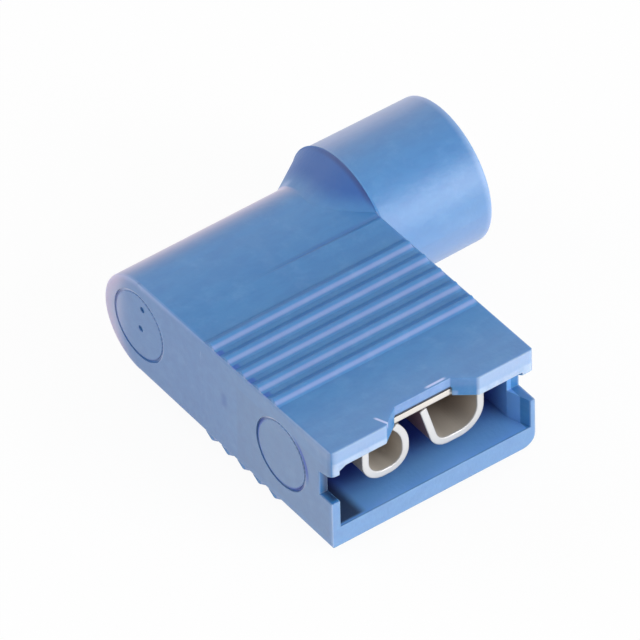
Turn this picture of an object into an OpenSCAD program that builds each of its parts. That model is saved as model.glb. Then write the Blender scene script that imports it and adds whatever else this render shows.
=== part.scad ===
// Female flag spade terminal, fully insulated. A moulded nylon housing holds a stamped
// receptacle for a flat tab, whose wire barrel lies across it at the rear. A thin sleeve in the
// housing's round barrel supports the wire's insulation when the terminal is crimped.
// Millimetres. +X points out of the tab mouth, +Y out of the wire entry, and +Z up through the
// broad face over the receptacle's base. The origin is on the wire axis, in the middle of the
// housing's width.

/* [Housing body] */
// Width of the body across its two side faces
body_w = 12.2; // [11.6:0.1:13.5]
// Distance from the wire axis to the mouth's face
body_reach = 15.5; // [15:0.25:18]
// Thickness of the body at the mouth
mouth_t = 6.14; // [5.9:0.02:6.8]
// Thickness of the body's broad faces where they meet the rounded rear end
rear_t = 5.62; // [5.2:0.02:5.64]
// Radius of the rounded rear end
rear_r = 2.83; // [2.83:0.03:3.1]
// Radius of the edges round the side face away from the barrel
near_round = 0.15; // [0.1:0.05:0.4]
// Radius of the upper edge on the barrel's side
upper_round = 0.15; // [0.1:0.05:0.5]
// Radius of the lower edge on the barrel's side
lower_round = 0.7; // [0.3:0.05:0.9]

/* [Grip ribs] */
// Number of ribs across each broad face
rib_count = 5; // [3:1:6]
// Distance from the wire axis to the first rib
rib_first = 5.76; // [5.4:0.05:6.4]
// Distance from rib to rib
rib_pitch = 1.26; // [1.1:0.02:1.4]
// Width of a rib at its foot
rib_w = 0.94; // [0.7:0.02:1]
// Height of a rib above the broad face
rib_h = 0.24; // [0.15:0.02:0.4]
// Width of the rounded crest
rib_crest = 0.28; // [0.2:0.02:0.4]
// Distance from the ribs' ends to the side face away from the barrel
rib_near_inset = 0.04; // [0.02:0.02:0.5]
// Distance from the ribs' ends to the side face with the barrel
rib_far_inset = 0.2; // [0.1:0.02:0.5]

/* [Mouth] */
// Thickness of the wall over the receptacle's base
top_wall = 0.62; // [0.5:0.02:0.8]
// Thickness of the floor
floor_wall = 1.15; // [0.8:0.05:1.4]
// Thickness of the side wall away from the barrel
near_wall = 0.5; // [0.4:0.05:0.8]
// Thickness of the side wall on the barrel's side
far_wall = 0.72; // [0.5:0.02:0.8]
// Loss of that wall's thickness at the mouth's face, where it leads the tab in
lead_in_w = 0.46; // [0.1:0.02:0.46]
// Thickness of the two lips that keep the receptacle in
lip_t = 1.12; // [1:0.02:1.3]
// Length of the lips, back from the mouth's face
lip_l = 0.8; // [0.5:0.05:1]
// Radius of the lips' outer corners, seen from above
lip_corner_r = 0.32; // [0.1:0.02:0.5]
// Drop of the hook at the outer end of the lip away from the barrel
near_hook_drop = 0.44; // [0.04:0.02:0.6]
// Drop of the hook at the outer end of the lip on the barrel's side
far_hook_drop = 0.2; // [0.04:0.02:0.6]
// Width of the slanted part of each hook
hook_w = 0.9; // [0.6:0.05:1.2]
// Depth of the notch between the lips
notch_depth = 0.85; // [0.75:0.05:1.2]
// Width of the notch at its back
notch_back_w = 3.3; // [2.5:0.1:4]
// Width of the notch at the mouth's face
notch_front_w = 5.6; // [4.5:0.1:6.5]
// Height of the lower edge of the side cut-outs above the floor
side_cut_rise = 1.7; // [1.2:0.1:2]
// Depth of the cut-out in the side wall away from the barrel
near_cut_depth = 1; // [0.8:0.05:1.6]
// Rise of that cut-out's top edge from its back to the mouth's face
near_cut_slant = 0.2; // [0.1:0.02:1]
// Depth of the cut-out in the side wall on the barrel's side
far_cut_depth = 1.3; // [0.8:0.05:1.6]
// Rise of that cut-out's top edge from its back to the mouth's face
far_cut_slant = 0.85; // [0.1:0.05:1.4]

/* [Barrel] */
// Length of the barrel beyond the body's side
barrel_l = 6.25; // [5:0.25:8]
// Outer radius of the barrel at its end
barrel_r = 3.9; // [3.7:0.05:4.4]
// Growth of the radius from the barrel's end back to the body
barrel_draft = 0.06; // [0:0.01:0.15]
// Height of the sharp shoulder above the barrel, where the cone begins
shoulder_step = 0.07; // [0.04:0.01:0.2]
// Step down from the shoulder to the cone
cone_step = 0.06; // [0.04:0.01:0.2]
// Length of the cone between the shoulder and the rounded rear end
cone_l = 1.9; // [1.5:0.1:2.4]
// Radius of the rounded edge at the barrel's end
barrel_round = 0.12; // [0.1:0.02:0.5]
// Height of the wire axis above the body's middle plane
barrel_rise = 0.15; // [0:0.01:0.2]
// Length of the flared entry
flare_l = 1; // [0.6:0.1:1.4]
// Growth of the bore's radius over the flare
flare_w = 0.35; // [0.2:0.05:0.5]

/* [Receptacle] */
// Thickness of the stamped sheet
sheet_t = 0.38; // [0.34:0.02:0.42]
// Width over the two rolls
recept_w = 7.4; // [7.2:0.1:7.8]
// Length of the rolls
recept_l = 7.5; // [6.5:0.25:8]
// Height from the base's upper face to the underside of the rolls
recept_h = 3.44; // [3.3:0.02:3.6]
// Gap between the base and the tips of the rolls, which spring open over the tab
tip_gap = 0.1; // [0.06:0.02:0.4]
// Width of the neck between the rolls and the wire barrel
neck_w = 4.8; // [4:0.2:5]
// Slope of the neck where it steps down, in degrees
neck_slope = 35; // [25:1:45]
// Radius of the bends between the base and the rolls, at the sheet's middle
shoulder_r = 1; // [0.7:0.05:1.1]
// Depth of the locking dimple below the base
dimple_depth = 0.2; // [0.1:0.02:0.24]
// Outer radius of the ball that forms the dimple
dimple_r = 1.25; // [1:0.05:1.5]
// Distance from the dimple to the receptacle's front edge
dimple_back = 3.2; // [2.6:0.1:4]

/* [Wire barrel] */
// Radius of the bore for the bared wire
wire_r = 1.2; // [1.05:0.05:1.25]
// Length of the wire barrel
wire_barrel_l = 7; // [6:0.2:7.2]
// Width of the seam where the rolled edges meet
seam_w = 0.1; // [0.06:0.02:0.2]

/* [Support sleeve] */
// Radius of the sleeve's bore, for the wire's insulation
sleeve_bore_r = 2.6; // [2.3:0.05:2.6]
// Thickness of the sleeve's wall
sleeve_t = 0.33; // [0.25:0.02:0.35]
// Length of the sleeve
sleeve_l = 6.4; // [5:0.2:6.6]

/* [Clearances] */
// Gap between the base and the wall over it
seat_gap = 0.13; // [0.05:0.01:0.15]
// Gap between the receptacle's front edge and the lips
stop_gap = 0.1; // [0.05:0.01:0.2]
// Gap round the wire barrel
barrel_gap = 0.08; // [0.05:0.01:0.12]
// Gap round the sleeve
sleeve_gap = 0.03; // [0.02:0.01:0.05]

/* [Moulding marks] */
// Radius of the ring that each ejector pin leaves
pin_mark_r = 1.92; // [1.5:0.05:2.2]
// Width of the ring's groove
pin_mark_w = 0.16; // [0.08:0.02:0.2]
// Depth of the ring's groove and of the two small pits in the rear ring
pin_mark_depth = 0.1; // [0.04:0.01:0.12]
// Radius of the small pits
pit_r = 0.17; // [0.1:0.01:0.25]
// Distance from the wire axis to the front ring
pin_mark_x = 11.46; // [10:0.1:12]
// Distance from the wire axis to the crease across the upper broad face
crease_x = 3.2; // [3:0.1:3.8]
// Depth of the crease at the barrel's side
crease_depth = 0.07; // [0.05:0.01:0.15]
// Length of the crease, from the barrel's side to where it fades out
crease_l = 8; // [5:0.5:10]
// Half the width of the crease at the barrel's side
crease_w = 0.22; // [0.16:0.02:0.6]

/* [Hidden] */

// How far a cut runs past the face that it opens
past = 0.5;
// Facets of a full turn on the exact round forms, and on the small bends of the sheet
$fn = 96;
bend_step = 7.5;

// The body's middle plane, and the tilt of its two broad faces
mid_z = -barrel_rise;
side_y = body_w / 2;
tilt = atan((mouth_t - rear_t) / 2 / body_reach);

// The mouth's chamber
ceiling_z = mid_z + mouth_t / 2 - top_wall;
floor_z = mid_z - mouth_t / 2 + floor_wall;
lip_z = mid_z + mouth_t / 2 - lip_t;
side_cut_z = floor_z + side_cut_rise;
near_inner_y = side_y - near_wall;
far_inner_y = side_y - far_wall;

// The stamped piece in the chamber
base_top = ceiling_z - seat_gap;
base_mid = base_top - sheet_t / 2;
recept_x1 = body_reach - lip_l - stop_gap;
recept_x0 = recept_x1 - recept_l;
ring_r = wire_r + sheet_t;

// The strip that runs on from the base meets the wire barrel just under its crown
crown_drop = 0.04;
strip_mid = ring_r - crown_drop - sheet_t / 2;
strip_end = sqrt(crown_drop * (ring_r + wire_r) - pow(crown_drop, 2));
neck_run = 0.3;
neck_len = (base_mid - strip_mid) / tan(neck_slope);
neck_x = recept_x0 - neck_run - neck_len;

// The pocket for the wire barrel, and the bore beyond it
pocket_r = ring_r + barrel_gap;
pocket_y = wire_barrel_l / 2 + barrel_gap;
chamber_x0 = neck_x - neck_run;
funnel_end_r = wire_r + 0.05;
bore_r = sleeve_bore_r + sleeve_t + sleeve_gap;
end_y = side_y + barrel_l;
sleeve_y1 = end_y - flare_l - 0.1;
sleeve_y0 = sleeve_y1 - sleeve_l;
funnel_y = sleeve_y0 - sleeve_gap;

// The barrel's radii along the wire axis; the cone runs on into the rounded rear end
barrel_root_r = barrel_r + barrel_draft;
step_r = barrel_root_r + shoulder_step;
step_y = side_y - 0.06;
cone_r = step_r - cone_step;
cone_root_r = rear_r - 0.4;
cone_run = cone_l * (cone_r - cone_root_r) / (cone_r - rear_r);

// ---- shared shapes ----

// A strip of sheet along a path of bends, as a flat outline. The path starts at p heading
// along a degrees, and each leg is [straight length, bend radius, turn], with a positive turn
// to the right.
function heading(a) = [cos(a), sin(a)];
function bend_points(p, a, r, turn) =
    let (side = sign(turn), c = p + r * heading(a - side * 90))
    let (n = max(1, ceil(abs(turn) / bend_step)))
    [for (i = [1:n]) [c + r * heading(a + side * 90 - turn * i / n), a - turn * i / n]];
function leg_points(p, a, leg) =
    let (q = p + leg[0] * heading(a))
    concat([[q, a]], leg[2] == 0 ? [] : bend_points(q, a, leg[1], leg[2]));
function path_points(p, a, legs, i = 0) =
    i == len(legs) ? [] :
    let (part = leg_points(p, a, legs[i]), last = part[len(part) - 1])
    concat(part, path_points(last[0], last[1], legs, i + 1));

module sheet_outline(p, a, legs) {
    track = concat([[p, a]], path_points(p, a, legs));
    half = sheet_t / 2;
    left = [for (s = track) s[0] + half * heading(s[1] + 90)];
    right = [for (i = [len(track) - 1:-1:0]) track[i][0] - half * heading(track[i][1] + 90)];
    polygon(concat(left, right));
}

// Stands a flat outline up across the part: its first axis along X, its second along Z
module along_y(y0, y1) {
    translate([0, y1, 0]) rotate([90, 0, 0]) linear_extrude(height = y1 - y0) children();
}

// Stands a flat outline up along the part: its first axis along Y, its second along Z
module along_x(x0, x1) {
    translate([x0, 0, 0]) rotate([90, 0, 90]) linear_extrude(height = x1 - x0) children();
}

// Turns an outline of radius against distance about the wire axis
module about_wire() {
    rotate([-90, 0, 0]) rotate_extrude() children();
}

// ---- housing ----

// Half thickness of the body at a distance x in front of the wire axis
function half_t(x) = rear_t / 2 + x * tan(tilt);

// Side view of the body without its ribs
module side_outline() {
    translate([0, mid_z]) {
        circle(r = rear_r);
        polygon([
            [0, -rear_t / 2], [body_reach, -half_t(body_reach)],
            [body_reach, half_t(body_reach)], [0, rear_t / 2]
        ]);
    }
}

// One grip rib in section: sloping flanks and a crest rounded by small flats
module rib_outline() {
    fillet = 0.2 * rib_h;
    polygon([
        [-rib_w / 2, -rib_h], [-rib_w / 2, 0], [-rib_crest / 2, rib_h - fillet],
        [-rib_crest / 5, rib_h], [rib_crest / 5, rib_h], [rib_crest / 2, rib_h - fillet],
        [rib_w / 2, 0], [rib_w / 2, -rib_h]
    ]);
}

// Grip ribs across a broad face, ending at far_inset from the side with the barrel
module ribs(far_inset) {
    translate([0, 0, rear_t / 2]) rotate([0, -tilt, 0])
        along_y(rib_near_inset - side_y, side_y - far_inset)
        for (i = [0:rib_count - 1]) translate([rib_first + i * rib_pitch, 0]) rib_outline();
}

// Barrel, shoulder and cone, turned about the wire axis
module barrel_outline() {
    corner = [for (a = [0:15:90])
        [barrel_r - barrel_round * (1 - cos(a)), end_y - barrel_round * (1 - sin(a))]];
    polygon(concat(
        [
            [0, step_y - cone_run], [cone_root_r, step_y - cone_run],
            [cone_r, step_y], [step_r, step_y + cone_step / 2], [barrel_root_r, side_y + 0.1]
        ],
        corner,
        [[0, end_y]]
    ));
}

// Wire way: funnel to the wire barrel, sleeve bore and flared entry
module wire_way_outline() {
    polygon([
        [0, pocket_y - past], [funnel_end_r, pocket_y - past], [funnel_end_r, pocket_y],
        [sleeve_bore_r, funnel_y], [bore_r, funnel_y],
        [bore_r, end_y - flare_l], [bore_r + flare_w, end_y],
        [bore_r + flare_w, end_y + past], [0, end_y + past]
    ]);
}

// Pocket for the wire barrel, and the channel that it came in through
module pocket() {
    along_y(-pocket_y, pocket_y) {
        circle(r = pocket_r);
        translate([0, -pocket_r + 0.02]) square([chamber_x0 + past, 2 * pocket_r - 0.04]);
    }
}

// Height of a hook's slanted underside where it meets the inner face of the side wall
function hook_inner_z(drop, inner_y) = lip_z - drop * (inner_y - side_y + hook_w) / hook_w;

// Chamber behind the lips, and the way in below them and their hooks
module chamber() {
    hook_y = side_y - hook_w;
    translate([chamber_x0, -near_inner_y, floor_z])
        cube([body_reach - lip_l - chamber_x0, near_inner_y + far_inner_y, ceiling_z - floor_z]);
    along_x(body_reach - lip_l - past, body_reach + past) polygon([
        [-near_inner_y, floor_z], [far_inner_y, floor_z],
        [far_inner_y, hook_inner_z(far_hook_drop, far_inner_y)], [hook_y, lip_z],
        [-hook_y, lip_z], [-near_inner_y, hook_inner_z(near_hook_drop, near_inner_y)]
    ]);
}

// Lead-in that thins the wall on the barrel's side towards the mouth's face
module lead_in_wedge() {
    back_x = body_reach - far_cut_depth;
    front_y = far_inner_y + lead_in_w * (far_cut_depth + past) / far_cut_depth;
    translate([0, 0, floor_z]) linear_extrude(height = side_cut_rise + 0.1) polygon([
        [back_x, far_inner_y - past], [body_reach + past, far_inner_y - past],
        [body_reach + past, front_y], [back_x, far_inner_y]
    ]);
}

// Notch between the lips, wider at the mouth's face
module notch() {
    grow = (notch_front_w - notch_back_w) / notch_depth;
    front_w = notch_front_w + grow * past;
    back_x = body_reach - notch_depth;
    translate([0, 0, lip_z - past]) linear_extrude(height = lip_t + 2 * past) polygon([
        [back_x, -notch_back_w / 2], [body_reach + past, -front_w / 2],
        [body_reach + past, front_w / 2], [back_x, notch_back_w / 2]
    ]);
}

// Cut-out at the front of a side wall; its top edge rises to the hook at the mouth's face
module side_cut(depth, slant, hook_drop) {
    slope = slant / depth;
    hook_z = lip_z - hook_drop;
    along_y(near_inner_y - past, side_y + past) polygon([
        [body_reach - depth, side_cut_z], [body_reach + past, side_cut_z],
        [body_reach + past, hook_z + slope * past], [body_reach - depth, hook_z - slant]
    ]);
}

// Cutter for a rounded edge, as an outline with the edge at its origin. The round cuts a
// little deeper than a tangent one, so that it crosses both faces.
module edge_outline(r) {
    skim = 0.012;
    difference() {
        translate([-r, -r]) square(r + past);
        translate([-r * (1 + skim), -r * (1 + skim)]) circle(r = r);
    }
}

// Rounded edge along a broad face, on the upper face and the barrel's side
module long_edge(r) {
    translate([0, side_y, rear_t / 2]) rotate([0, -tilt, 0])
        along_x(-0.1, body_reach + past) edge_outline(r);
}

// Rounded outer corner of a lip, above the side wall's cut-out
module lip_corner() {
    translate([body_reach, side_y, side_cut_z]) linear_extrude(height = mouth_t)
        edge_outline(lip_corner_r);
}

module rounded_edges() {
    lip_corner();
    mirror([0, 1, 0]) lip_corner();
    translate([0, 0, mid_z]) {
        long_edge(upper_round);
        mirror([0, 0, 1]) long_edge(lower_round);
        mirror([0, 1, 0]) long_edge(near_round);
        mirror([0, 1, 0]) mirror([0, 0, 1]) long_edge(near_round);
        rotate([90, 0, 0]) rotate([0, 0, 90]) rotate_extrude(angle = 180)
            translate([rear_r, side_y]) edge_outline(near_round);
    }
}

// Rings left by the ejector pins on the side face away from the barrel, the rear one round
// the wire axis with two small pits in it
module pin_marks() {
    translate([0, pin_mark_depth - side_y, 0]) {
        for (x = [0, pin_mark_x]) translate([x, 0, 0]) rotate([90, 0, 0]) difference() {
            cylinder(r = pin_mark_r + pin_mark_w / 2, h = past);
            translate([0, 0, -past]) cylinder(r = pin_mark_r - pin_mark_w / 2, h = 2 * past);
        }
        for (p = [[0.32, 1.25], [0.15, -0.08]])
            translate([p[0], 0, p[1]]) rotate([90, 0, 0]) cylinder(r = pit_r, h = past);
    }
}

// Crease in the upper face, deepest at the barrel's side
module crease() {
    lean = atan(crease_depth / crease_l);
    lift = half_t(crease_x) - crease_depth;
    slope = crease_depth / crease_w;
    translate([crease_x, side_y, mid_z + lift]) rotate([-lean, 0, 0])
        along_y(-crease_l - 2, past) polygon([[0, 0], [2, 2 * slope], [2, 3], [-2, 3], [-2, 2 * slope]]);
}

module housing() {
    color("royalblue") difference() {
        union() {
            difference() {
                along_y(-side_y, side_y) side_outline();
                rounded_edges();
                crease();
            }
            translate([0, 0, mid_z]) {
                ribs(rib_far_inset);
                mirror([0, 0, 1]) ribs(lower_round + rib_near_inset);
            }
            about_wire() barrel_outline();
        }
        about_wire() wire_way_outline();
        pocket();
        chamber();
        lead_in_wedge();
        notch();
        side_cut(far_cut_depth, far_cut_slant, far_hook_drop);
        mirror([0, 1, 0]) side_cut(near_cut_depth, near_cut_slant, near_hook_drop);
        pin_marks();
    }
}

// ---- terminal ----

// Base and rolls in section: legs of [straight length, bend radius, turn]. The roll on the
// barrel's side is wide and leans in; the other is narrower and curls back. Both end at the
// same gap below the base.
flat_half = recept_w / 2 - sheet_t / 2 - shoulder_r;
tip_room = recept_h - 1.5 * sheet_t - tip_gap;
inner_r = 0.95;
wide_r = 1.25;
wide_drop = recept_h - sheet_t - shoulder_r - wide_r;
wide_flat = 0.67;
wide_turn = 74;
wide_rise = inner_r * (1 - cos(wide_turn)) + sheet_t / 2 * cos(wide_turn);
wide_leg = (tip_room - wide_rise) / sin(wide_turn);
wide_legs = [
    [flat_half, shoulder_r, 90], [wide_drop, wide_r, 90], [wide_flat, inner_r, wide_turn],
    [wide_leg, 0, 0]
];
narrow_inset = 0.12;
narrow_lift = 0.02;
narrow_r = 1.15;
narrow_drop = recept_h - sheet_t - shoulder_r - narrow_r - narrow_lift;
narrow_flat = 0.3;
curl_r = 1.9;
curl_turn = 40;
curl_tip = 0.3;
curl_rise = inner_r + curl_r * sin(curl_turn) + curl_tip * cos(curl_turn);
curl_leg = tip_room - narrow_lift - curl_rise - sheet_t / 2 * sin(curl_turn);
narrow_legs = [
    [flat_half - narrow_inset, shoulder_r, 90], [narrow_drop, narrow_r, 90], [narrow_flat, inner_r, 90],
    [curl_leg, curl_r, curl_turn], [curl_tip, 0, 0]
];

module receptacle() {
    along_x(recept_x0, recept_x1) {
        sheet_outline([0, base_mid], 0, wide_legs);
        mirror([1, 0]) sheet_outline([0, base_mid], 0, narrow_legs);
    }
}

// Strip from the base down to the wire barrel
module neck() {
    along_y(-neck_w / 2, neck_w / 2) {
        polygon([
            [recept_x0 + past, base_top], [recept_x0 + past, base_top - sheet_t],
            [recept_x0 - neck_run, base_top - sheet_t], [neck_x, strip_mid - sheet_t / 2],
            [strip_end, strip_mid - sheet_t / 2], [strip_end, strip_mid + sheet_t / 2],
            [neck_x, strip_mid + sheet_t / 2], [recept_x0 - neck_run, base_top]
        ]);
    }
}

module wire_barrel() {
    difference() {
        rotate([90, 0, 0]) cylinder(r = ring_r, h = wire_barrel_l, center = true);
        rotate([90, 0, 0]) cylinder(r = wire_r, h = wire_barrel_l + 2 * past, center = true);
        translate([0, -wire_barrel_l / 2 - past, -seam_w / 2])
            cube([ring_r + past, wire_barrel_l + 2 * past, seam_w]);
    }
}

// Locking dimple pressed down from the base, at the height of the ball's centre
dimple_x = recept_x1 - dimple_back;
dimple_z = base_top - sheet_t - dimple_depth + dimple_r;

module terminal() {
    color("gainsboro") difference() {
        union() {
            receptacle();
            neck();
            wire_barrel();
            intersection() {
                translate([dimple_x, 0, dimple_z]) sphere(r = dimple_r);
                translate([dimple_x, 0, base_mid - dimple_r]) cylinder(r = dimple_r, h = dimple_r);
            }
        }
        translate([dimple_x, 0, dimple_z]) sphere(r = dimple_r - sheet_t);
    }
}

// ---- support sleeve ----

module sleeve() {
    color("goldenrod") about_wire() polygon([
        [sleeve_bore_r, sleeve_y0], [sleeve_bore_r + sleeve_t, sleeve_y0],
        [sleeve_bore_r + sleeve_t, sleeve_y1], [sleeve_bore_r + sleeve_t / 2, sleeve_y1],
        [sleeve_bore_r, sleeve_y1 - sleeve_t / 2]
    ]);
}

housing();
terminal();
sleeve();
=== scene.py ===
# %% [markdown]
# # A blue flag terminal
# This lesson dresses one small electrical terminal: a moulded nylon housing with a stamped,
# tin-plated receptacle in its mouth. The solid model comes first and stays where it is. Blender
# adds the light, the camera and the finishes, and the soft edges that a mould and a press leave.

# %% Load the solid model
from math import cos, pi, radians, sin

import bpy
import numpy as np
from mathutils import Matrix, Vector


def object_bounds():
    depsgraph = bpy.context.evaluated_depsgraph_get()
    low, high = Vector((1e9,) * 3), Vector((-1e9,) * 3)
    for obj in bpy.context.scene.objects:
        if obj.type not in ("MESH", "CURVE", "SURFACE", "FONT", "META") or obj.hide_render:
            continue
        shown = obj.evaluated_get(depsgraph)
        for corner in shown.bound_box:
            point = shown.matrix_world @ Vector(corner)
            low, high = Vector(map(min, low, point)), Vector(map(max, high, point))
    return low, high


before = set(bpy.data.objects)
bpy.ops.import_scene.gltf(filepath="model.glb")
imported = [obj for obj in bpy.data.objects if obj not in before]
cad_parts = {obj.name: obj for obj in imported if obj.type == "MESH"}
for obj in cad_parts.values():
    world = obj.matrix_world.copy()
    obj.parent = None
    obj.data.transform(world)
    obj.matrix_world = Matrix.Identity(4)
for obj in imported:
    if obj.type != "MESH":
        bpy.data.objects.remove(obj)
MM = 0.001


def as_lists(box):
    """The two corners of a box as plain lists of metres."""
    return [[float(v) for v in corner] for corner in box]


cad_box = as_lists(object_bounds())
print("solid model, mm:", [[round(v / MM, 2) for v in corner] for corner in cad_box])

# %% [markdown]
# ## Camera
# A small part is photographed from far away with a long lens, so its parallel edges stay almost
# parallel. The camera looks down at about 43 degrees on the corner between the mouth and the side
# face, from one metre away, and it is turned by one degree about its own axis, as a hand-held
# camera is. The long lens is worked out from the width that the frame takes in at that distance.
# The azimuth counts from -Y towards +X.

# %% Camera
azimuth, elevation, roll = radians(53.97), radians(42.77), radians(1.145)
aim = Vector((6.27, 0.14, 1.43)) * MM
distance = 1.0
frame_width = 30.80 * MM

towards = Vector((sin(azimuth) * cos(elevation), -cos(azimuth) * cos(elevation), sin(elevation)))
level = Vector((cos(azimuth), sin(azimuth), 0))
upright = towards.cross(level)
right = level * cos(roll) - upright * sin(roll)
up = level * sin(roll) + upright * cos(roll)
turned = Matrix((right, up, towards)).transposed().to_4x4()

camera_data = bpy.data.cameras.new("camera")
camera_data.sensor_width = 36
camera_data.lens = camera_data.sensor_width * distance / frame_width
camera_data.clip_start, camera_data.clip_end = 0.01, 10
camera = bpy.data.objects.new("camera", camera_data)
camera.matrix_world = Matrix.Translation(aim + towards * distance) @ turned
bpy.context.scene.collection.objects.link(camera)
bpy.context.scene.camera = camera
print("lens:", round(camera_data.lens), "mm")

# %% [markdown]
# ## Shader maths in plain expressions
# Node trees are easier to read as sums and products than as boxes and wires. This class wraps one
# socket, so that `mask * 0.4 + 0.1` adds the Math nodes for it. A mask is a wire that is 1 where
# something lies and 0 elsewhere, and most masks are products of ramps along X, Y and Z.

# %% Shader maths
class Wire:
    """One output socket of a node, with the arithmetic that the finishes use."""

    def __init__(self, paint, socket):
        self.paint, self.socket = paint, socket

    def maths(self, operation, *others):
        values = dict(enumerate((self,) + others))
        return self.paint.node("ShaderNodeMath", dict(operation=operation), values)

    def __add__(self, other):
        return self.maths("ADD", other)

    def __sub__(self, other):
        return self.maths("SUBTRACT", other)

    def __rsub__(self, other):
        return -self + other

    def __mul__(self, other):
        return self.maths("MULTIPLY", other)

    __radd__, __rmul__ = __add__, __mul__

    def __neg__(self):
        return self * -1

    def __abs__(self):
        return self.maths("ABSOLUTE")

    def ramp(self, low, high):
        """0 below low and 1 above high, with a soft S between; high may be the smaller."""
        settings = dict(interpolation_type="SMOOTHSTEP", clamp=True)
        inputs = {"Value": self, "From Min": low, "From Max": high}
        return self.paint.node("ShaderNodeMapRange", settings, inputs)


def band(value, low, high, soft):
    """1 where the value lies between low and high, fading to 0 over `soft` outside them."""
    return value.ramp(low - soft, low) * value.ramp(high + soft, high)


def away(first, second):
    """The distance of a point from the origin of a plane, from its two coordinates there."""
    return (first * first + second * second).maths("SQRT")


print("wires ready")

# %% [markdown]
# ## Materials as layers of paint
# A material is built as a painter works: a base colour, then thin layers, each with a mask for
# where it goes and how strongly. `lay` adds one layer. Any other node comes from the one method
# `node`, which takes the node's type, its settings and its inputs. The world has nodes too, so the
# same class serves it.
#
# Some of the layers below are marks on the plastic, and some are light and shade painted into its
# colour, to bring out a form more than the lamps do. The text says which. Painted light is fixed to
# the surface: it doesn't slide with the camera, and it doesn't follow a lamp that moves either.

# %% Paint
class Paint:
    """The nodes of a material or of the world, and its base colour as it grows."""

    def __init__(self, block, shader="Principled BSDF"):
        block.use_nodes = True
        self.block, self.tree = block, block.node_tree
        self.shader = self.tree.nodes[shader]
        self.base = None

    def node(self, kind, settings=None, inputs=None, output=0):
        """Adds a node, with its settings first and then the values or wires of its inputs."""
        made = self.tree.nodes.new(kind)
        for name, value in (settings or {}).items():
            setattr(made, name, value)
        for name, value in (inputs or {}).items():
            self.feed(made.inputs[name], value)
        return Wire(self, made.outputs[output])

    def feed(self, socket, value):
        if isinstance(value, Wire):
            self.tree.links.new(value.socket, socket)
        else:
            socket.default_value = value

    def mix(self, factor, first, second):
        """The second colour laid over the first by the factor."""
        sockets = {0: factor, 6: first, 7: second}
        return self.node("ShaderNodeMix", dict(data_type="RGBA"), sockets, output=2)

    def lay(self, mask, layer):
        """Lays one more colour over the base colour, as strongly as the mask says."""
        self.base = self.mix(mask, self.base, layer)

    def place(self):
        """The point on the piece, in millimetres, as one wire and as three."""
        point = self.node("ShaderNodeTexCoord", output="Object")
        scaled = self.node("ShaderNodeVectorMath", dict(operation="SCALE"), {0: point, "Scale": 1 / MM})
        parts = self.node("ShaderNodeSeparateXYZ", inputs={0: scaled}).socket.node.outputs
        return scaled, [Wire(self, part) for part in parts]

    def noise(self, point, size, detail=2.0, rough=0.5, stretch=(1, 1, 1)):
        """Soft noise about 0.5, whose blotches are about `size` millimetres across."""
        moved = self.node("ShaderNodeVectorMath", dict(operation="MULTIPLY"), {0: point, 1: stretch})
        inputs = {"Vector": moved, "Scale": 0.5 / size, "Detail": detail, "Roughness": rough}
        return self.node("ShaderNodeTexNoise", inputs=inputs)

    def ray(self, kind):
        """1 where a ray of this kind arrives, such as Camera or Glossy, and 0 for the others."""
        return self.node("ShaderNodeLightPath", output=f"Is {kind} Ray")

    def finish(self, **sockets):
        """Sets the shader's sockets by name; an underscore in a name stands for a space."""
        for name, value in sockets.items():
            self.feed(self.shader.inputs[name.replace("_", " ")], value)
        return self.block


print("paint ready")

# %% [markdown]
# ## Colours
# Colours are easiest to judge as a screen shows them, from 0 to 255, but a shader works in linear
# light. The curve between the two is straight near black and a power of 2.4 above that.

# %% Colours
def colour(red, green, blue):
    """A colour written as on a screen, 0 to 255, as the linear light that a shader works in."""
    screen = np.array([red, green, blue]) / 255
    linear = np.where(screen <= 0.04045, screen / 12.92, ((screen + 0.055) / 1.055) ** 2.4)
    return (*[float(v) for v in linear], 1.0)


print("middle grey in linear light:", round(colour(128, 128, 128)[0], 3))

# %% [markdown]
# ## Soft edges
# A mould's edges are never sharp: every edge of the housing carries a radius of about a tenth of a
# millimetre, and the press rounds the cut edges of the sheet. The solids have the large radii. The
# small ones come from a Bevel node, which turns the normal within its radius of an edge, so that
# the edge catches light as a rounded one does and the mesh stays as it is.

# %% Soft edges
def soft_edges(paint, radius, height, strength, distance):
    """The normal of a surface with edges rounded by `radius` mm and a relief from `height`."""
    rounded = paint.node("ShaderNodeBevel", dict(samples=6), {"Radius": radius * MM})
    inputs = {"Height": height, "Strength": strength, "Distance": distance * MM, "Normal": rounded}
    return paint.node("ShaderNodeBump", inputs=inputs)


print("soft edges ready")

# %% [markdown]
# ## Measures of the housing
# The painted light and shade follow the housing's own form: its chamber is darker, its lips are
# paler, its ribs shine on one flank. So they need some of the housing's measures. The outer ones
# come from the solid model's box, and the inner ones repeat the values it was built with. All are
# in millimetres. The Y axis is the axis of the wire barrel, X points out of the mouth and Z up. The
# barrel lies on the side of +Y, and the side face towards -Y is plain.

# %% Measures of the housing
side_y = -cad_box[0][1] / MM  # half the body's width
mouth_x = cad_box[1][0] / MM  # the mouth's face
entry_y = cad_box[1][1] / MM  # the barrel's end
middle_z = -0.15  # the body's middle plane
rear_half, mouth_half = 2.81, 3.07  # half the body's thickness at the rear and at the mouth
chamber_y = 5.62  # just past the face of the chamber's plain side wall
bed_z, lip_z, roof_z = -2.07, 1.8, 2.3  # chamber's floor, lips' underside, roof behind the notch
notch_x, notch_y = mouth_x - 0.85, 1.65  # the notch's back, and half its width there
rib_first, rib_pitch, rib_count = 5.76, 1.26, 5
crease_x = 3.15
barrel_r = 3.9
ring_r, ring_gap = 2.0, 11.46  # the ejectors' rings: radius, and from one to the other
print("body, mm:", round(2 * side_y, 2), "wide,", 2 * mouth_half, "thick at the mouth")

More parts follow.
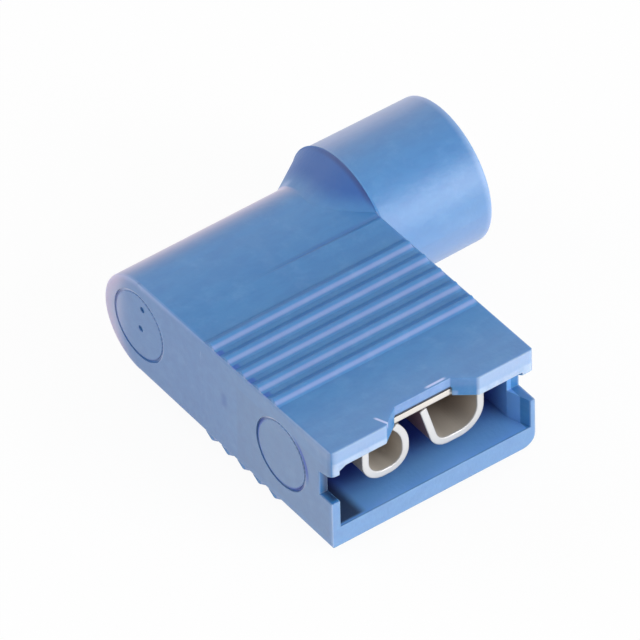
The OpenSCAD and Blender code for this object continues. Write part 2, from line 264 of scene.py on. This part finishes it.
# %% [markdown]
# ## Nylon
# The housing is moulded from blue nylon. It has a satin skin with a very fine spark-eroded grain.
# Its colour is never quite even, because the plastic cools as it flows: soft clouds of a lighter
# and a deeper blue, with finer mottling and short streaks over them.

# %% Nylon
nylon = Paint(bpy.data.materials.new("nylon_blue"))
point, (x, y, z) = nylon.place()
cloud = nylon.noise(point, 3.0)
mottle = nylon.noise(point, 0.5, detail=4.0, rough=0.7)
grain = nylon.noise(point, 0.12, detail=3.0)
flow = nylon.noise(point, 0.25, stretch=(1, 0.4, 1))

nylon.base = nylon.mix(cloud, colour(38, 117, 178), colour(50, 125, 184))
nylon.lay(mottle.ramp(0.45, 0.75) * 0.3, colour(90, 146, 196))
nylon.lay(flow.ramp(0.35, 0.7) * 0.25, colour(20, 96, 164))
print("nylon, bare:", len(nylon.tree.nodes), "nodes")

# %% [markdown]
# ## The chamber
# Light that enters the mouth is thrown from wall to wall, and the blue plastic takes some of it
# each time, so the chamber looks a deeper and purer blue towards its back. The lamps alone leave it
# too bright, so this shade is painted. It is darkest beside the receptacle on the plain side. The
# wall at the notch's back is painted paler. Below it, over the receptacle's base, a dark line of
# painted shade marks the gap under the roof.

# %% The chamber
inside = band(x, 3, mouth_x - 0.12, 0.06) * abs(y).ramp(chamber_y + 0.03, chamber_y)
inside = inside * band(z, bed_z - 0.03, lip_z - 0.05, 0.05)
depth = nylon.mix(x.ramp(12.2, 14.6), colour(34, 44, 156), colour(108, 166, 228))
nylon.lay(inside * 0.88, depth)

shade = band(x, 8, 15.2, 0.2) * band(y, -chamber_y, -4.4, 0.6) * band(z, -2.7, lip_z - 0.05, 0.05)
nylon.lay(shade * 0.85, colour(14, 16, 50))

notch_back = band(x, notch_x - 0.02, notch_x + 0.02, 0.02) * abs(y).ramp(notch_y + 0.05, notch_y + 0.01)
nylon.lay(notch_back * z.ramp(roof_z + 0.02, roof_z + 0.1) * mottle * 0.4, colour(190, 200, 240))
# A dark line of painted shade where the roof meets the receptacle's base.
crevice = band(x, notch_x - 0.15, notch_x + 0.05, 0.02) * abs(y).ramp(notch_y + 0.05, notch_y + 0.03)
nylon.lay(crevice * band(z, roof_z - 0.1, roof_z + 0.06, 0.03) * 0.85, colour(16, 20, 52))
print("with the chamber:", len(nylon.tree.nodes), "nodes")

# %% [markdown]
# ## The mouth's rim
# The face of the mouth is painted paler than the rest, the two lips most of all, and more so on the
# barrel's side: a painted highlight, where the front faces catch the light from in front of the
# mouth. A second layer of painted highlight, broken up by the mottling, lies along the lips' lower
# edges.

# %% The mouth's rim
rim = x.ramp(mouth_x - 0.12, mouth_x - 0.02)
lips = z.ramp(1.0, 1.4)
# Painted highlight on the mouth's front faces.
nylon.lay(rim * (lips * (y.ramp(-1, 4) * 0.09 + 0.12) + 0.18), colour(214, 228, 246))
# A mottled painted highlight along the lips' lower edges.
lower_edge = band(z, lip_z - 0.5, lip_z + 0.25, 0.2)
nylon.lay(rim * lower_edge * mottle.ramp(0.3, 0.6) * 0.3, colour(226, 236, 248))
print("with the rim:", len(nylon.tree.nodes), "nodes")

# %% [markdown]
# ## Ribs
# The ribs let fingers pull the terminal off its tab. One flank of each catches the light as a pale
# line, and the foot behind it lies in shade. The solid's ribs give part of that, and the rest is
# painted highlight and painted shade. A dark spot of painted shade lies in each valley at its plain
# end.
#
# `proud` is how far a point stands out from the body's plain surface, which is a wedge with a
# rounded rear: the distance from the middle plane, or behind X = 0 from the rear's own axis, less
# half the thickness there. `across` runs from minus to plus half a pitch over each rib, with 0 on
# its crest, because the fraction of a number repeats.

# %% Ribs
taper = (mouth_half - rear_half) / mouth_x
proud = away(x.maths("MINIMUM", 0), z - middle_z) - x.maths("MAXIMUM", 0) * taper - rear_half
on_body = abs(y).ramp(side_y + 0.12, side_y + 0.1)
across = ((x - rib_first) * (1 / rib_pitch) + 0.5).maths("FRACT") * rib_pitch - rib_pitch / 2

rib_last = rib_first + (rib_count - 1) * rib_pitch
ribbed = band(x, rib_first - 0.56, rib_last + 0.6, 0.05) * proud.ramp(-0.05, 0.02) * on_body
shining = band(across, 0.22, 0.28, 0.12)
nylon.lay(ribbed * shining * 0.22, colour(222, 208, 246))

# Painted shade at the plain end of each valley.
valley = band(x, rib_first + 0.54, rib_last + 0.2, 0.2) * abs(across).ramp(0.4, 0.55)
valley = valley * band(y, -side_y + 0.1, -side_y + 0.3, 0.2) * band(proud, -0.05, 0.1, 0.02)
nylon.lay(valley * 0.55, colour(4, 58, 176))
foot = ribbed * band(across, -0.5, -0.14, 0.1)
nylon.lay(foot * 0.35, colour(14, 76, 150))
print("ribs from X", rib_first, "to", round(rib_last, 2), "mm")

# %% [markdown]
# ## Bloom on the body
# Satin nylon turns pale where it is seen at a low angle. The gloss gives some of that, and the rest
# is painted where it shows most: on the rounded rear, the two side faces, and the broad faces
# towards the rear and the mouth. Because it is fixed to the surface, the rounded rear stays lilac
# when it is seen face on from behind, where the plastic would look blue. A weaker layer and more
# gloss would be truer there, and less so from the front.

# %% Bloom on the body
bloom = (-x).ramp(0.2, 2.1) * on_body * proud.ramp(0.12, 0.05)
flank = band(abs(y), side_y - 0.06, side_y + 0.02, 0.03) * proud.ramp(0.04, 0)
nylon.lay(flank * 0.13, colour(196, 186, 196))

# Painted sheen towards the rear and on the broad face towards the mouth.
rear_sheen = x.ramp(4, -2) * proud.ramp(-0.4, -0.1) * 0.1 + bloom * (-x).ramp(0.8, 2.1) * 0.45
front_sheen = x.ramp(11.5, 14.5) * z.ramp(2.2, 2.6) * 0.08
nylon.lay(rear_sheen + front_sheen, colour(200, 206, 226))
nylon.lay(bloom * proud.ramp(-0.9, -0.1) * 0.3, colour(230, 192, 200))
nylon.lay(flank * x.ramp(4, 11) * 0.06, colour(206, 222, 196))
print("with the bloom:", len(nylon.tree.nodes), "nodes")

# %% [markdown]
# ## Barrel and cone
# In soft light the round barrel shows two pale lines, one above and one below, with blue between
# them. Both are painted highlights. `turn` says how far round a point is: its distance from a plane
# through the barrel's axis, as a share of the radius, so that it is 1 on the upper line, which looks
# up and back at 41 degrees, and -1 on the lower one. The cone between the barrel's shoulder and the
# rounded rear lies in the shoulder's shade, which is painted too.

# %% Barrel and cone
line_angle = radians(41.15)
turn = (z * sin(line_angle) - x * cos(line_angle)) * (1 / barrel_r)
wire_side = y.ramp(side_y, side_y + 0.1)
# Painted highlights: the upper pale line, then the lower one.
nylon.lay(wire_side * turn.ramp(0.75, 1.0) * 0.3, colour(196, 202, 230))
nylon.lay(wire_side * (-turn).ramp(0.1, 0.8) * 0.22, colour(190, 220, 248))

cone = band(y, side_y - 2.2, side_y - 0.06, 0.05) * proud.ramp(0.0, 0.7) * x.ramp(5.0, 4.6)
nylon.lay(cone * 0.8, colour(8, 78, 158))
nylon.lay(cone * y.ramp(side_y - 0.3, side_y - 0.1) * x.ramp(-3, 0) * 0.7, colour(18, 52, 118))
# The barrel is painted paler over its last half millimetre before the wire's entry.
nylon.lay(y.ramp(entry_y - 0.45, entry_y - 0.05) * 0.3, colour(196, 214, 240))
print("with the barrel:", len(nylon.tree.nodes), "nodes")

# %% [markdown]
# ## Crease and ejector rings
# A crease runs in from the barrel's foot, and a darker line of painted shade, of uneven strength, is
# laid along it. On the plain side face, two ejector pins have left ring-shaped grooves. One side of
# each ring catches the light and the other is dark, more than so fine a groove shows by itself, so
# both are painted: a painted highlight on one side and painted shade on the other. The front ring
# also has a dark smear on the side of the mouth. Both rings are painted by the same masks: `ring_x`
# is the distance along X from the middle of the nearer one.

# %% Crease and ejector rings
crease = band(x, crease_x - 0.05, crease_x + 0.05, 0.16) * z.ramp(2.2, 2.5)
crease = crease * y.ramp(-2.5, 1.5) * y.ramp(side_y + 0.05, side_y)
# Painted shade along the crease.
nylon.lay(crease * (mottle * 0.5 + 0.1), colour(18, 62, 134))

side = band(y, -side_y - 0.1, -side_y + 0.2, 0.02)
at_front = x.ramp(5, 5.1)
ring_x = x - at_front * ring_gap
reach = away(ring_x, z)
lit = band(reach, ring_r - 0.15, ring_r, 0.02) * (ring_x * 0.6 + z * 0.8).ramp(-0.6, 1.0)
# Painted highlight on the lit side of each ring.
nylon.lay(lit * side * 0.9, colour(196, 210, 232))

# Painted shade on the dark side of each ring.
ring_shade = band(reach, ring_r - 0.2, ring_r - 0.05, 0.05) * (ring_x * -0.6 - z * 0.8).ramp(-0.6, 0.2)
# A dark smear beside the front ring, towards the mouth.
ring_smear = band(reach, ring_r - 0.02, ring_r + 0.16, 0.1) * ring_x.ramp(0.8, 1.6) * z.ramp(-0.7, 0.5)
# The rings' painted shade, with the front ring's dark smear.
ring_shade_and_smear = (ring_shade * (at_front * 0.6 + 0.4) + ring_smear * at_front) * side * 0.85
nylon.lay(ring_shade_and_smear, colour(4, 64, 168))
print("with the rings:", len(nylon.tree.nodes), "nodes")

# %% [markdown]
# ## Small marks
# Small whitish marks are painted in a short streak behind the notch, a fine line at the notch's
# corner and a patch at the cone's foot. The line at the corner is slanted, so its mask takes a sum
# of X and Y. A painted glint lies on the notch's slanted side, and a painted highlight runs along
# the edge of the plain side face, where its rounded edge catches the light. A soft dark scuff lies
# between the two rings.

# %% Small marks
topside = z.ramp(2.5, 2.8)
streak = band(x, notch_x - 0.19, notch_x - 0.15, 0.09) * band(y, 0.5, 1.3, 0.3) * topside
corner_mark = band(x, 14.8, 15.3, 0.2) * band(y - x * 0.4, -8.78, -8.72, 0.07) * topside
root = band(x, -2.0, -1.9, 0.5) * band(y, 4.0, 4.1, 0.4) * z.ramp(0, 1)
# A painted glint on the notch's slanted side.
spot = band(x, 14.7, 14.85, 0.12) * band(y, 1.6, 1.9, 0.12) * band(z, 1.7, 2.0, 0.18)
nylon.lay(streak * 0.8 + corner_mark * 0.8 + root * 0.35 + spot * 0.2, colour(205, 212, 245))

# A painted highlight along the rounded edge of the plain side face.
long_edge = band(y, -side_y - 0.1, -side_y + 0.15, 0.05) * proud.ramp(-0.22, -0.1)
nylon.lay(long_edge * x.ramp(8, 0) * 0.16, colour(196, 204, 236))
scuff = band(x, 6.88, 6.92, 0.32) * band(z, -0.05, 0.35, 0.4) * side
nylon.lay(scuff * 0.45, colour(4, 80, 160))
print("with the marks:", len(nylon.tree.nodes), "nodes")

# %% [markdown]
# ## The nylon's gloss
# A rough clear coat stands for the skin that the polished mould leaves. It is thin on most of the
# housing, thick where the painted bloom and the barrel's painted highlights are, and gone where
# shade is painted and on the front ring's dark smear.
# Some light also enters the plastic and comes out a little further on, which softens its shadows.

# %% The nylon's gloss
polish = bloom * 0.75 + wire_side * abs(turn).ramp(0.5, 0.95) * 0.75 + flank * 0.2
bare = foot + cone + ring_shade_and_smear + valley
nylon_blue = nylon.finish(
    Base_Color=nylon.base,
    Roughness=cloud * 0.1 + 0.42,
    Normal=soft_edges(nylon, 0.06, grain, 0.5, 0.03),
    IOR=1.65,
    Coat_Weight=(polish + 0.25 - bare * 0.25).maths("MINIMUM", 1).maths("MAXIMUM", 0),
    Coat_Tint=(1.0, 0.95, 0.99, 1.0),
    Coat_Roughness=0.45,
    Subsurface_Weight=0.3,
    Subsurface_Radius=(0.3, 0.6, 1.0),
    Subsurface_Scale=0.8 * MM,
)
print("nylon, finished:", len(nylon.tree.nodes), "nodes")

# %% [markdown]
# ## Tin plate
# The receptacle is brass with a bright tin plating. Rolling leaves faint streaks along the strip,
# and handling dulls it in soft patches. Only its front edges face the light. Behind them the plate
# mirrors the dark chamber and itself, so it looks browner, most of all between the two rolls. The
# plate is kept half metallic, and that darker image is a painted reflection. The base's upper face
# lies close under the roof, and is painted dark as its shade.

# %% Tin plate
tin = Paint(bpy.data.materials.new("tin_plate"))
point, (x, y, z) = tin.place()
dull = tin.noise(point, 1.2)
streak = tin.noise(point, 0.15, detail=3.0, stretch=(0.12, 1, 1))
edge_x = mouth_x - 1.0  # a little behind the front edges
base_low, base_top = 1.8, 2.165  # the two faces of the base

tin.base = tin.mix(dull, colour(222, 223, 226), colour(200, 199, 196))
inner = band(x, -2, edge_x, 0.03)
depth = (x - z * 0.6).ramp(11.6, 15.6)
# Painted reflection of the dark chamber behind the front edges, browner between the rolls.
tin.lay(inner * 0.8, tin.mix(depth, colour(124, 98, 76), colour(226, 218, 204)))
tin.lay(inner * band(y, -0.85, 0.7, 0.05) * 0.85, colour(120, 84, 88))
tin.lay(x.ramp(edge_x, edge_x + 0.03) * z.ramp(base_low - 0.08, base_low) * 0.35, colour(228, 214, 194))
# Painted shade on the base's upper face, under the roof.
tin.lay(z.ramp(base_top - 0.045, base_top) * 0.9, colour(20, 20, 34))
tin_plate = tin.finish(
    Base_Color=tin.base,
    Metallic=0.45,
    Roughness=dull * 0.12 + 0.36,
    Normal=soft_edges(tin, 0.12, streak, 0.2, 0.01),
)
print("tin:", len(tin.tree.nodes), "nodes")

# %% [markdown]
# ## Brass
# The sleeve inside the barrel is plain brass. Drawing leaves fine scratches along its length, and
# it has tarnished unevenly to a warmer, duller tone. Towards its inner end, deep in the barrel, it
# is painted darker as shade.

# %% Brass
brass = Paint(bpy.data.materials.new("sleeve_brass"))
point, (x, y, z) = brass.place()
tarnish = brass.noise(point, 0.9, detail=4.0)
scratch = brass.noise(point, 0.08, detail=3.0, stretch=(1, 0.08, 1))
brass.base = brass.mix(tarnish.ramp(0.35, 0.7), colour(208, 178, 118), colour(168, 132, 86))
brass.lay(scratch.ramp(0.55, 0.75) * 0.3, colour(238, 208, 150))
# Painted shade towards the sleeve's inner end.
brass.lay(y.ramp(9.0, 6.5) * 0.6, colour(84, 58, 34))
sleeve_brass = brass.finish(
    Base_Color=brass.base,
    Metallic=0.85,
    Roughness=tarnish * 0.25 + 0.22,
    Normal=soft_edges(brass, 0.05, scratch, 0.25, 0.01),
)
print("brass:", len(brass.tree.nodes), "nodes")

# %% [markdown]
# ## Dress the solids
# Each solid keeps its mesh and its place, and only its material slots change. A slot holds one
# material for the whole piece here, because each piece is made of one thing.

# %% Dress the solids
for name, material in {"housing": nylon_blue, "terminal": tin_plate, "sleeve": sleeve_brass}.items():
    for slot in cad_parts[name].material_slots:
        slot.material = material
    print(name, "wears", material.name)

# %% [markdown]
# ## Floor
# The part stands on a plain white floor. To the camera the floor is nearly all glow, so that it is
# white without more light on the part, and the rest is a matt white that keeps the part's shadow.
# Reflections show it as plain white.

# %% Floor
ground_z = cad_box[0][2]
span = 0.6
floor_mesh = bpy.data.meshes.new("floor")
corners = [(-span, -span), (span, -span), (span, span), (-span, span)]
floor_mesh.from_pydata([(*corner, ground_z) for corner in corners], [], [(0, 1, 2, 3)])
floor = bpy.data.objects.new("floor", floor_mesh)
bpy.context.scene.collection.objects.link(floor)

white = Paint(bpy.data.materials.new("white_floor"))
white.finish(Base_Color=(0.9, 0.9, 0.9, 1), Roughness=1.0)
matt = Wire(white, white.shader.outputs[0])
glow = white.node("ShaderNodeEmission", inputs={"Color": (1, 1, 1, 1), "Strength": 1.0})
glowing = (white.ray("Camera") * 0.94).maths("MAXIMUM", white.ray("Glossy"))
surface = white.node("ShaderNodeMixShader", inputs={0: glowing, 1: matt, 2: glow})
white.feed(white.tree.nodes["Material Output"].inputs["Surface"], surface)
floor_mesh.materials.append(white.block)
print("floor at", round(ground_z / MM, 2), "mm")

# %% [markdown]
# ## Light
# The world gives an even level from all sides: white to the camera and in reflections, and less
# as light. Two large lamps, both low, add direction: one in front of the mouth, and a weaker one
# behind the plain side. At this level a colour renders about as it is written.

# %% Light
sky = Paint(bpy.data.worlds.new("world"), "Background")
bpy.context.scene.world = sky.block
shown = sky.ray("Camera").maths("MAXIMUM", sky.ray("Glossy"))
brightness = sky.node("ShaderNodeMapRange", inputs={"Value": shown, "To Min": 0.64, "To Max": 1.0})
sky.finish(Color=(1, 1, 1, 1), Strength=brightness)


def lamp(name, bearing, height, strength, wide, tall, tint=(1, 1, 1)):
    """A soft rectangular lamp, `wide` by `tall` metres, half a metre from the part.

    It stands at a compass bearing from +X towards +Y and a height in degrees, and gives a white
    surface that faces it `strength` times the brightness of white. A matt white surface at the
    distance d from a lamp of P watts has the brightness P / (pi * d) ** 2.
    """
    off = 0.5
    bearing, height = radians(bearing), radians(height)
    towards_lamp = Vector((cos(bearing) * cos(height), sin(bearing) * cos(height), sin(height)))
    data = bpy.data.lights.new(name, "AREA")
    data.shape, data.size, data.size_y, data.color = "RECTANGLE", wide, tall, tint
    data.energy = strength * (pi * off) ** 2
    made = bpy.data.objects.new(name, data)
    made.location = aim + towards_lamp * off
    made.rotation_euler = towards_lamp.to_track_quat("Z", "Y").to_euler()
    bpy.context.scene.collection.objects.link(made)
    print(name, "lamp:", round(data.energy, 2), "W")


lamp("window", 26, 18, 0.85, 0.26, 0.34)
lamp("fill", 225, 22, 0.28, 0.3, 0.3, tint=(1, 0.96, 0.98))
bpy.context.scene.view_settings.view_transform = "Standard"
